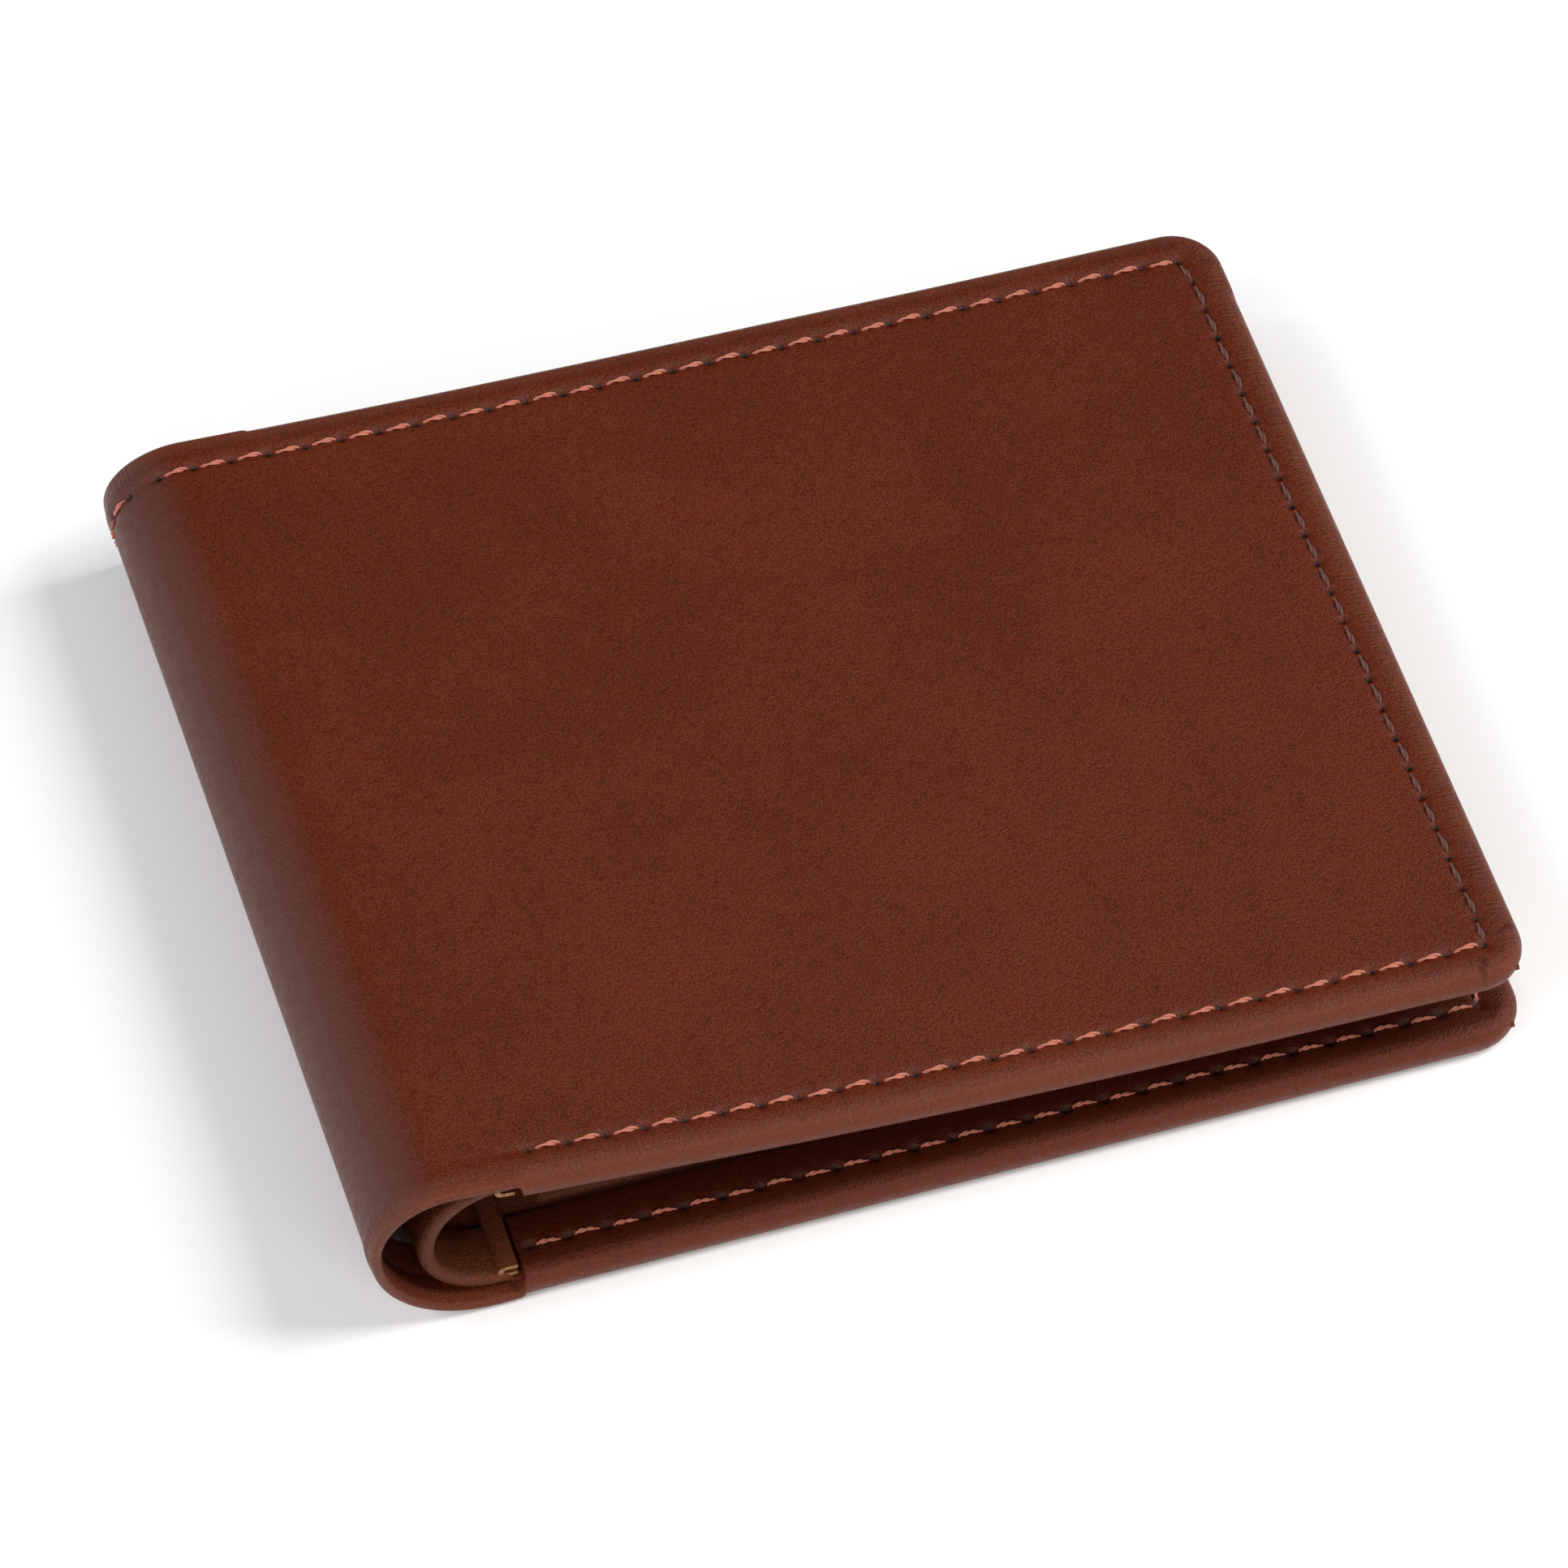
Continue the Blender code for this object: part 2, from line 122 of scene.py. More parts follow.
# --- Outer leather ------------------------------------------------------------------------------
# One sheet of 0.9 mm calf wraps both covers and the spine. Its edges are skived and turned in as
# a hem, 7.5 mm wide, and stitched down. Round the spine the hem is slit away and pressed flat.
# It is laid out flat, in (s along the wallet, y across it, w deep), and then wrapped.

width, height = 114 * MM, 97 * MM
corner_radius = 5 * MM
tilt = math.radians(3.7)
total_turn = math.pi + tilt
half_turn = total_turn / 2
sag_depth = 1.5 * MM
# At the mouth the soft spine lies pressed a little flatter than at the bottom edge: 3 mm at most.
mouth_press = 0.155


def ease(x):
    x = np.clip(x, 0, 1)
    return x * x * (3 - 2 * x)


class Path:
    """The line that a layer follows: flat on the back cover, two arcs, flat on the front cover."""

    def __init__(self, start_x, level, back_radius, front_radius):
        self.start = np.array((start_x, level))
        self.radii = (back_radius, front_radius)
        self.first_arc = back_radius * half_turn
        self.bend = self.first_arc + front_radius * half_turn
        self.centre_back = self.start - back_radius * self.outward(0)
        middle = self.centre_back + back_radius * self.outward(half_turn)
        self.centre_front = middle - front_radius * self.outward(half_turn)
        self.end = self.centre_front + front_radius * self.outward(total_turn)
        self.lead = 0

    @staticmethod
    def outward(turn):
        return np.array((-np.sin(turn), -np.cos(turn)))

    def turn_at(self, s):
        first = np.clip(s, 0, None) / self.radii[0]
        second = np.minimum(half_turn + (s - self.first_arc) / self.radii[1], total_turn)
        return np.where(s <= self.first_arc, first, second)

    def s_at(self, turn):
        if turn <= half_turn:
            return turn * self.radii[0]
        return self.first_arc + (turn - half_turn) * self.radii[1]

    def wrap(self, flat):
        """World points of flat points. The front cover sags a little between spine and free edge."""
        s, y, w = flat[:, 0], flat[:, 1], flat[:, 2]
        run = np.clip((s - self.bend + self.lead) / front_length, 0, 1)
        w = w + sag_depth * np.sin(np.pi * run) ** 1.3 * (1 + 0.25 * y / height)
        turn = self.turn_at(s)
        out = np.stack((-np.sin(turn), -np.cos(turn)), 1)
        arc = np.where(
            (s <= self.first_arc)[:, None],
            self.centre_back + self.radii[0] * out,
            self.centre_front + self.radii[1] * out,
        )
        over = np.clip(s, None, 0)[:, None] * np.array((-1.0, 0.0))
        ahead = np.array((-math.cos(total_turn), math.sin(total_turn)))
        over = over + np.clip(s - self.bend, 0, None)[:, None] * ahead
        base = arc + over - w[:, None] * out
        pressed = mouth_press * ease((20 * MM - base[:, 0]) / (70 * MM)) * np.clip(y / height + 0.5, 0, 1)
        return np.stack((base[:, 0], y, base[:, 1] * (1 - pressed)), 1)


outer = Path(11.6 * MM - width / 2, 0, 11.6 * MM, 7.5 * MM)
s_back = outer.start[0] - width / 2
s_front = outer.bend + (width / 2 - outer.end[0]) / math.cos(tilt)
front_length = s_front - outer.bend
hem_slit = 99.5 * MM
slit_back, slit_front = s_back + hem_slit, s_front - hem_slit
stitch_inset = 3.75 * MM

# The wallet folds about four lines. Each piece of leather that crosses them is cut at the middles
# of the spine's three strips, so that each part lies on two neighbouring bodies.
strip_turns = [total_turn * k / 4 for k in range(5)]
part_names = ("back", "bend_1", "bend_2", "front")


def bend_with(piece, part, path=None, deepest=1.2 * MM):
    """Finds the span where this part of a wrapped piece would bend between the two bodies it lies on.

    The span starts past the whole of one cut and ends before the whole of the next. An empty span
    raises an error, and otherwise only the piece's transform is baked."""
    path = path or outer
    rims = []
    for k in (part, part + 1):
        s = path.s_at(strip_turns[k])
        corners = [(s, y, w) for y in (-height / 2, height / 2) for w in (0, deepest)]
        rims.append(path.wrap(np.array(corners)))
    first, last = (rim.mean(0) for rim in rims)
    along = (last - first) / np.linalg.norm(last - first)
    origin = first - (first @ along) * along
    start = origin + (rims[0] @ along).max() * along
    end = origin + (rims[1] @ along).min() * along
    if (end - start) @ along <= 0:
        raise ValueError(f"{piece.name}: no room to bend between the cuts")
    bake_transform(piece)


def hem_depth(s, y):
    """How deep the underside of the hem lies: thick on the covers, thinner along the mouth."""
    on_cover = ease((slit_back - s) / (0.5 * MM) + 0.5) + ease((s - slit_front) / (0.5 * MM) + 0.5)
    mouth = ease((y - 38.2 * MM) / (2.2 * MM))
    cover = 3.1 * MM - 1.05 * MM * mouth
    return 1.05 * MM + (cover - 1.05 * MM) * on_cover


def row_holes(side, to_spine):
    """Needle holes of a cover's row, in order, as flat (s, y): bottom edge, free edge, mouth edge."""
    reach = height / 2 - stitch_inset
    bottom = [(u, -reach) for u in np.arange(98.0, 5.0, -3.76) * MM]
    corner = [(4.05 * MM, -reach + 0.1 * MM)]
    free = [(3.75 * MM, y) for y in np.linspace(-reach + 3.3 * MM, reach - 3.2 * MM, 23)]
    mouth_corner = [(4.3 * MM, reach - 0.35 * MM)]
    mouth = [(u, reach) for u in np.arange(7.9, 99.0, 3.76) * MM]
    if to_spine:
        mouth += [(u, reach) for u in np.arange(101.9, 121.4, 3.76) * MM]
    holes = [*bottom, *corner, *free, *mouth_corner, *mouth]
    return np.array([(s_back + u if side == "back" else s_front - u, y) for u, y in holes])


hole_rows = {side: row_holes(side, True) for side in ("back", "front")}
all_holes = np.concatenate(list(hole_rows.values()))


def dent(points, holes, depth, radius):
    """Depth of the dimples that the needle and the pulled thread leave at the holes."""
    sunk = np.zeros(len(points))
    for s, y in holes:
        near = np.abs(points[:, 0] - s) < 3 * radius
        away = (points[near, 0] - s) ** 2 + (points[near, 1] - y) ** 2
        sunk[near] = np.maximum(sunk[near], depth * np.exp(-away / radius**2))
    return sunk


fine_step, ring_inset = 0.3125 * MM, 6.25 * MM
half_s, half_y = (s_front - s_back) / 2, height / 2
middle_s = (s_front + s_back) / 2


def perimeter():
    """Points round an inner rectangle, the points on the rounded outline they lead to, and normals."""
    a, b = half_s - ring_inset, half_y - ring_inset
    count_s, count_y = (4 * round(2 * side / fine_step / 4) for side in (a, b))
    i, j = np.arange(count_s) / count_s, np.arange(count_y) / count_y
    sides = [
        np.stack((-a + 2 * a * i, np.full(count_s, -b)), 1),
        np.stack((np.full(count_y, a), -b + 2 * b * j), 1),
        np.stack((a - 2 * a * i, np.full(count_s, b)), 1),
        np.stack((np.full(count_y, -a), b - 2 * b * j), 1),
    ]
    inner = np.concatenate(sides)
    level = np.concatenate([np.full(n, flat) for n, flat in ((count_s, 1), (count_y, 0)) * 2]) > 0
    size = np.abs(inner)
    to_corner = np.where(level, a - size[:, 0], b - size[:, 1])
    fan = 5 * MM
    straight = fan + ring_inset - corner_radius
    travel = np.clip((fan - to_corner) / fan, 0, 1) * (straight + corner_radius * math.pi / 4)
    angle = np.clip(travel - straight, 0, None) / corner_radius
    angle = np.where(level, math.pi / 2 - angle, angle)
    normal = np.stack((np.cos(angle), np.sin(angle)), 1)
    centre = np.array((half_s - corner_radius, half_y - corner_radius))
    outline = centre + corner_radius * normal
    slide = np.where(to_corner < fan, np.clip(straight - travel, 0, None), 0)
    far = to_corner >= fan
    outline[:, 0] = np.where(level, np.where(far, size[:, 0], outline[:, 0] - slide), outline[:, 0])
    outline[:, 1] = np.where(level, outline[:, 1], np.where(far, size[:, 1], outline[:, 1] - slide))
    signs = np.where(inner < 0, -1, 1)
    return inner, outline * signs, normal * signs, count_s, count_y


def skin(points, lift):
    """Outer face: a soft ridge over the hem, a pressed line under the stitches, and the dimples."""
    inset = np.minimum(half_s - np.abs(points[:, 0] - middle_s), half_y - np.abs(points[:, 1]))
    front = ease((points[:, 0] - slit_back) / (20 * MM))
    ridge = 0.16 * MM * np.exp(-(((inset - 2.1 * MM) / (0.9 * MM)) ** 2)) * front
    bottom_row = (points[:, 1] < 0) & (points[:, 0] > slit_back) & (points[:, 0] < slit_front - 1.5 * MM)
    pressed = 0.13 * MM * np.exp(-(((inset - stitch_inset) / (0.5 * MM)) ** 2)) * (~bottom_row)
    return lift - ridge + pressed + dent(points, all_holes, 0.5 * MM, 0.42 * MM)


def hem_skin(points, level):
    """Inside face of the hem: the same pressed line and dimples, and pleats at the corners."""
    inset = np.minimum(half_s - np.abs(points[:, 0] - middle_s), half_y - np.abs(points[:, 1]))
    pressed = 0.12 * MM * np.exp(-(((inset - stitch_inset) / (0.5 * MM)) ** 2))
    swell = 0.12 * MM * np.exp(-(((inset - 2.0 * MM) / (0.8 * MM)) ** 2))
    pleat = np.zeros(len(points))
    for side in (-1, 1):
        for edge in (-1, 1):
            across = (half_s - side * (points[:, 0] - middle_s)) - 4.2 * MM
            up = (half_y - edge * points[:, 1]) - 4.0 * MM
            for degrees, reach in ((205, 4), (248, 4.5), (92, 2.5), (40, 3)):
                along = across * math.cos(math.radians(degrees)) + up * math.sin(math.radians(degrees))
                off = -across * math.sin(math.radians(degrees)) + up * math.cos(math.radians(degrees))
                here = (along > 0) * ease((reach * MM - along) / (1.2 * MM))
                pleat = np.maximum(pleat, 0.3 * MM * here * np.exp(-((off / (0.2 * MM)) ** 2)))
    return level + swell - pressed - pleat - dent(points, all_holes, 0.45 * MM, 0.4 * MM)


def outer_shell():
    """Flat vertices and faces of the whole outer leather with its hem, one closed skin."""
    inner, outline, normal, count_s, count_y = perimeter()
    centre = np.array((middle_s, 0))
    depth = hem_depth(outline[:, 0] + middle_s, outline[:, 1])
    roll = np.minimum(1.25 * MM, depth * 0.5)

    def at(inset):
        share = ((ring_inset - inset) / (ring_inset - roll))[:, None]
        rolled = outline - normal * roll[:, None]
        beyond = outline - normal * np.minimum(inset, roll)[:, None]
        return np.where((inset >= roll)[:, None], inner + (rolled - inner) * share, beyond) + centre

    rings = []
    for inset in (6.25, 5.5, 4.9, 4.5, 4.3, 4.1, 3.95, 3.8, 3.65, 3.5, 3.35, 3.15, 2.9, 2.5, 2.1, 1.7, 1.4):
        points = at(np.maximum(np.full(len(inner), inset * MM), roll))
        rings.append(np.column_stack((points, skin(points, 0))))
    for degrees in range(-90, 91, 15):
        angle = math.radians(degrees)
        points = at(roll * (1 - math.cos(angle)))
        rings.append(np.column_stack((points, depth / 2 * (1 + math.sin(angle)))))
    for inset in (1.5, 1.9, 2.4, 2.9, 3.2, 3.4, 3.55, 3.7, 3.85, 4.0, 4.2, 4.5, 5.1, 5.8, 6.6, 7.2):
        points = at(np.maximum(np.full(len(inner), inset * MM), roll))
        rings.append(np.column_stack((points, hem_skin(points, depth))))
    under = np.maximum(depth - 0.55 * MM, 0.94 * MM)
    for inset, level in ((7.5, depth - 0.1 * MM), (7.45, under), (1.6, under), (1.6, under * 0 + 0.9 * MM)):
        points = at(np.full(len(inner), inset * MM))
        rings.append(np.column_stack((points, level)))
    points = at(np.full(len(inner), ring_inset))
    rings.append(np.column_stack((points, np.full(len(inner), 0.9 * MM))))

    count = len(inner)
    vertices = np.concatenate(rings)
    faces = []
    index = np.arange(count)
    after = (index + 1) % count
    for k in range(len(rings) - 1):
        low, high = k * count, (k + 1) * count
        faces += np.stack((low + index, low + after, high + after, high + index), 1).tolist()
    wide, tall = count_s // 4, count_y // 4
    for ring, level in ((0, 0.0), (len(rings) - 1, 0.9 * MM)):
        start = ring * count
        grid = np.full((tall + 1, wide + 1), -1)
        grid[0, :] = start + 4 * np.arange(wide + 1)
        grid[:, wide] = start + count_s + 4 * np.arange(tall + 1)
        grid[tall, ::-1] = start + count_s + count_y + 4 * np.arange(wide + 1)
        grid[1:, 0] = (start + (2 * count_s + count_y + 4 * (tall - np.arange(1, tall + 1))))
        grid[0, 0] = start
        a, b = half_s - ring_inset, half_y - ring_inset
        s, y = np.meshgrid(
            middle_s - a + 2 * a * np.arange(1, wide) / wide, -b + 2 * b * np.arange(1, tall) / tall
        )
        grid[1:tall, 1:wide] = len(vertices) + np.arange(s.size).reshape(s.shape)
        inside = np.column_stack((s.ravel(), y.ravel(), np.full(s.size, level)))
        vertices = np.concatenate((vertices, inside))
        for j in range(tall):
            for i in range(wide):
                cell = [grid[j, i], grid[j, i + 1], grid[j + 1, i + 1], grid[j + 1, i]]
                loop = []
                for corner, beside in ((0, j == 0), (1, i == wide - 1), (2, j == tall - 1), (3, i == 0)):
                    loop.append(int(cell[corner]))
                    if beside:
                        loop += [start + (cell[corner] - start + n) % count for n in (1, 2, 3)]
                faces.append(loop if ring else loop[::-1])
    return vertices, faces


def cut_strip(source, low, high):
    """A copy of a flat closed mesh, kept between two flat places and closed where it is cut."""
    piece = source.copy()
    for place, keep_above in ((low, True), (high, False)):
        if place is None:
            continue
        cut = bmesh.ops.bisect_plane(
            piece,
            geom=piece.verts[:] + piece.edges[:] + piece.faces[:],
            dist=1e-7,
            plane_co=(place, 0, 0),
            plane_no=(1, 0, 0),
            clear_inner=keep_above,
            clear_outer=not keep_above,
        )
        edges = [item for item in cut["geom_cut"] if isinstance(item, bmesh.types.BMEdge)]
        bmesh.ops.holes_fill(piece, edges=edges)
    return piece


def place_leather(name, bm, path, surface):
    """Wraps a flat mesh, records how far each point has turned and where it is along the edge."""
    bmesh.ops.recalc_face_normals(bm, faces=bm.faces)
    mesh = bpy.data.meshes.new(name)
    bm.to_mesh(mesh)
    bm.free()
    flat = np.empty(len(mesh.vertices) * 3)
    mesh.vertices.foreach_get("co", flat)
    flat = flat.reshape(-1, 3)
    off_s = half_s - np.abs(flat[:, 0] - middle_s)
    off_y = half_y - np.abs(flat[:, 1])
    bend_s, bend_y = np.clip(corner_radius - off_s, 0, None), np.clip(corner_radius - off_y, 0, None)
    angle = np.arctan2(bend_s, bend_y)
    arc = corner_radius * math.pi / 2
    at_corner = (bend_s > 0) & (bend_y > 0)
    along = np.where(at_corner, corner_radius * angle, np.where(off_y < off_s, -off_s, arc + off_y))
    inset = np.where(at_corner, corner_radius - np.hypot(bend_s, bend_y), np.minimum(off_s, off_y))
    turned = path.turn_at(flat[:, 0]) / total_turn
    # hole masks the needle holes, where the leather's colour is darkened as painted shade.
    hole = dent(flat, all_holes, 1.0, 0.42 * MM) if path is outer else np.zeros(len(flat))
    hole = ease((hole - 0.45) / 0.3)
    for label, values in (("along", along / MM), ("inset", inset / MM), ("turned", turned),
                          ("deep", flat[:, 2] / MM), ("hole", hole)):
        layer = mesh.attributes.new(label, "FLOAT", "POINT")
        layer.data.foreach_set("value", values.astype(np.float32))
    mesh.vertices.foreach_set("co", path.wrap(flat).ravel())
    mesh.update()
    mesh.shade_smooth()
    mesh.set_sharp_from_angle(angle=math.radians(60))
    mesh.materials.append(surface)
    piece = bpy.data.objects.new(name, mesh)
    bpy.context.scene.collection.objects.link(piece)
    return piece


class Nodes:
    """Short hand for wiring a material's nodes."""

    def __init__(self, name):
        self.material = bpy.data.materials.new(name)
        self.material.use_nodes = True
        self.tree = self.material.node_tree
        self.shader = self.tree.nodes["Principled BSDF"]

    def add(self, kind, **inputs):
        node = self.tree.nodes.new(kind)
        for label, value in inputs.items():
            self.set(node, label.replace("_", " "), value)
        return node

    def set(self, node, label, value):
        socket = node.inputs[int(label[1:]) if label[0] == "i" and label[1:].isdigit() else label]
        if isinstance(value, bpy.types.NodeSocket):
            self.tree.links.new(value, socket)
        else:
            socket.default_value = value

    def math(self, operation, first, second=0.0, clamp=False):
        node = self.add("ShaderNodeMath", i0=first, i1=second)
        node.operation = operation
        node.use_clamp = clamp
        return node.outputs[0]

    def span(self, value, low, high, to_low=0.0, to_high=1.0):
        """value, moved from one span to another with soft ends."""
        node = self.add("ShaderNodeMapRange")
        node.interpolation_type = "SMOOTHSTEP"
        for label, given in (("Value", value), ("From Min", low), ("From Max", high),
                             ("To Min", to_low), ("To Max", to_high)):
            self.set(node, label, given)
        return node.outputs[0]

    def mix(self, share, first, second, how="MIX"):
        node = self.tree.nodes.new("ShaderNodeMix")
        node.data_type = "RGBA"
        node.blend_type = how
        self.set(node, "Factor", share)
        for label, value in (("i6", first), ("i7", second)):
            self.set(node, label, value if isinstance(value, bpy.types.NodeSocket) else (*value, 1))
        return node.outputs[2]

    def noise(self, vector, scale, detail=2.0, roughness=0.5):
        node = self.add(
            "ShaderNodeTexNoise", Vector=vector, Scale=scale, Detail=detail, Roughness=roughness
        )
        return node.outputs[0]

    def attribute(self, name):
        node = self.tree.nodes.new("ShaderNodeAttribute")
        node.attribute_name = name
        return node.outputs["Fac"]

    def place(self):
        return self.tree.nodes.new("ShaderNodeTexCoord").outputs["Object"]


def leather(name, colour, warm, roughness, grain, wrinkled, spine_sheen=0.6):
    """Fine pebbled calf: grain and pores in the bump, mottled dye, and wrinkles along turned edges.

    The last argument sets how strongly a painted sheen greys the colour round the spine's curve.
    """
    # The first colour below is a painted sheen for the spine's curve.
    painted_spine_sheen = (0.085, 0.031, 0.024)
    bare_edge = (0.19, 0.05, 0.02)
    # Painted shade for the hem's inside face, under the rolled edge.
    painted_hem_shade = (0.026, 0.003, 0.0006)
    # Painted shade for the needle holes.
    painted_hole_shade = (0.004, 0.0015, 0.001)
    gloss = 0.19
    n = Nodes(name)
    place = n.place()
    cells = n.add("ShaderNodeTexVoronoi", Vector=place, Scale=4200.0)
    cells.feature = "SMOOTH_F1"
    cells.inputs["Smoothness"].default_value = 0.35
    pebble = cells.outputs["Distance"]
    fine = n.noise(place, 9000.0, 2.0, 0.6)
    cloud = n.noise(place, 60.0, 4.0, 0.6)
    mottle = n.noise(place, 900.0, 3.0, 0.6)
    base = n.mix(n.span(cloud, 0.3, 0.75, 0.0, 0.8), colour, warm)
    base = n.mix(n.span(mottle, 0.5, 0.75, 0.0, 0.12), base, [c * 0.6 for c in colour])
    # Painted highlight: small bright warm glints scattered over the grain.
    painted_glint = [warm[0] * 2.0, warm[1] * 1.7, warm[2] * 1.2]
    base = n.mix(n.span(fine, 0.58, 0.78, 0.0, 0.5), base, painted_glint)
    # Painted shade: the grooves between the pebbles are darkened, leaving the tops lighter.
    base = n.mix(n.span(pebble, 0.38, 0.7, 0.0, 0.55), base, [c * 0.4 for c in colour])
    turned = n.attribute("turned")
    # Painted sheen: round the spine's curve the colour turns greyish, standing in for a reflection.
    spine_sheen_mask = n.math("MULTIPLY", n.span(turned, 0.12, 0.5), n.span(turned, 0.99, 0.8))
    base = n.mix(n.math("MULTIPLY", spine_sheen_mask, spine_sheen), base, painted_spine_sheen)
    inset, deep = n.attribute("inset"), n.attribute("deep")
    edge = n.math("MULTIPLY", n.span(inset, 2.2, 0.3), n.span(deep, 3.3, 1.2))
    base = n.mix(n.math("MULTIPLY", edge, 0.3), base, bare_edge)
    # Painted shade: the hem's inside face, under the rolled edge, is darkened.
    shaded = n.math("MULTIPLY", n.span(deep, 1.7, 2.6), n.span(inset, 0.8, 1.8))
    base = n.mix(n.math("MULTIPLY", shaded, 0.55), base, painted_hem_shade)
    # Painted shade darkens the needle holes.
    base = n.mix(n.attribute("hole"), base, painted_hole_shade)
    n.set(n.shader, "Base Color", base)
    n.set(n.shader, "Roughness", n.span(mottle, 0.3, 0.75, roughness - 0.07, roughness + 0.1))
    n.shader.inputs["Specular IOR Level"].default_value = gloss
    pits, pores = n.math("MULTIPLY", pebble, -0.6 * grain), n.math("MULTIPLY", fine, 0.55 * grain)
    height_map = n.math("ADD", pits, pores)
    height_map = n.math("ADD", height_map, n.math("MULTIPLY", mottle, 0.5 * grain))
    streak = n.add("ShaderNodeCombineXYZ", X=n.attribute("along"), Y=n.math("MULTIPLY", deep, 0.55))
    slant = n.noise(streak.outputs[0], 3.6, 2.0, 0.6)
    where = n.math("MULTIPLY", n.span(inset, 3.1, 1.4), n.span(deep, 2.2, 0.5))
    wrinkle = n.math("MULTIPLY", n.math("MULTIPLY", slant, where), 2.6 * wrinkled)
    height_map = n.math("ADD", height_map, wrinkle)
    bump = n.add("ShaderNodeBump", Height=height_map, Strength=0.7, Distance=0.00015)
    n.set(n.shader, "Normal", bump.outputs[0])
    return n.material


calf = leather("calf", (0.095, 0.0145, 0.0038), (0.118, 0.0192, 0.0052), 0.40, 1.0, 1.0)

shell_vertices, shell_faces = outer_shell()
shell_mesh = bpy.data.meshes.new("flat_leather")
shell_mesh.from_pydata(shell_vertices.tolist(), [], shell_faces)
shell = bmesh.new()
shell.from_mesh(shell_mesh)
bpy.data.meshes.remove(shell_mesh)
cuts = [None, *(outer.s_at(turn) for turn in strip_turns[1:4]), None]
outer_nodes = (("back_cover", "spine_1"), ("spine_2",), ("spine_3",), ("front_cover",))
for part, label in enumerate(part_names):
    flat_part = cut_strip(shell, cuts[part], cuts[part + 1])
    piece = place_leather(f"outer_leather_{label}", flat_part, outer, calf)
    bend_with(piece, part)
    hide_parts(*(f"{body}_outer_leather" for body in outer_nodes[part]))
shell.free()

# --- Lining of the bill compartment --------------------------------------------------------------
# Close-woven dark brown cloth, 0.14 mm thick, is glued inside the outer leather all the way round.
# Its bottom edge is covered by the turned hem, and it is caught under the mouth's turned edge.

lining_low, lining_high = -41.2 * MM, height / 2 - 3.0 * MM
lining_depth = 1.08 * MM
lining_thickness = 0.14 * MM


def cloth():
    n = Nodes("brown_cloth")
    place = n.place()
    warp = n.add("ShaderNodeTexWave", Vector=place, Scale=420.0, Distortion=0.4)
    warp.bands_direction = "Y"
    weft = n.add("ShaderNodeTexWave", Vector=place, Scale=420.0, Distortion=0.4)
    weft.bands_direction = "X"
    weave = n.math("MAXIMUM", warp.outputs["Fac"], weft.outputs["Fac"])
    n.set(n.shader, "Base Color", n.mix(weave, (0.018, 0.008, 0.005), (0.05, 0.022, 0.014)))
    n.shader.inputs["Roughness"].default_value = 0.85
    n.shader.inputs["Sheen Weight"].default_value = 0.03
    bump = n.add("ShaderNodeBump", Height=weave, Strength=0.4, Distance=0.00008)
    n.set(n.shader, "Normal", bump.outputs[0])
    return n.material


def select_only(obj):
    bpy.ops.object.select_all(action="DESELECT")
    obj.select_set(True)
    bpy.context.view_layer.objects.active = obj


def map_points(piece, move):
    """Moves every vertex of a mesh by a function of all of them."""
    co = np.empty(len(piece.data.vertices) * 3)
    piece.data.vertices.foreach_get("co", co)
    piece.data.vertices.foreach_set("co", move(co.reshape(-1, 3)).ravel())
    piece.data.update()


brown_cloth = cloth()
lining_ends = [s_back + 2.5 * MM, *cuts[1:4], s_front - 2.5 * MM]
for part, label in enumerate(part_names):
    low, high = lining_ends[part], lining_ends[part + 1]
    bpy.ops.object.select_all(action="DESELECT")
    columns = max(8, round((high - low) / (1.0 * MM)))
    bpy.ops.mesh.primitive_grid_add(x_subdivisions=columns, y_subdivisions=40, size=1)
    piece = bpy.context.object
    piece.name = f"lining_{label}"
    middle, span = (low + high) / 2, high - low

    def lay_out(co):
        y = (lining_low + lining_high) / 2 + co[:, 1] * (lining_high - lining_low)
        return outer.wrap(np.column_stack((middle + co[:, 0] * span, y, np.full(len(co), lining_depth))))

    map_points(piece, lay_out)
    thick = piece.modifiers.new("thickness", "SOLIDIFY")
    thick.thickness = lining_thickness
    thick.offset = 0
    select_only(piece)
    bpy.ops.object.modifier_apply(modifier=thick.name)
    bpy.ops.object.shade_smooth()
    piece.data.materials.append(brown_cloth)
    bend_with(piece, part)
    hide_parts(*(f"{body}_lining" for body in outer_nodes[part]))

# --- Inner leather ---------------------------------------------------------------------------------
# A second sheet, 0.5 mm thick, forms the other wall of the bill compartment and carries the card
# slots. It turns in its own smaller loop inside the spine, where its bottom edge is turned over.

inner_low, inner_high = -47.25 * MM, 38.0 * MM


def inner_path():
    level, radius = 1.4 * MM, 7.6 * MM
    top = Path.outward(total_turn)
    first = Path(-44.6 * MM, level, radius, 1.0)
    middle = first.centre_back + radius * Path.outward(half_turn)
    reach = outer.end @ top - level - middle @ top
    made = Path(-44.6 * MM, level, radius, reach / (1 - Path.outward(half_turn) @ top))
    ahead = np.array((-math.cos(total_turn), math.sin(total_turn)))
    made.lead = (made.end - outer.end) @ ahead
    return made


inner = inner_path()


def inner_s(side, from_free_edge):
    """Flat place on the inner leather's path of a distance from a cover's free edge."""
    if side == "back":
        return s_back + from_free_edge + inner.start[0] - outer.start[0]
    return s_front - from_free_edge - outer.bend + inner.bend - inner.lead


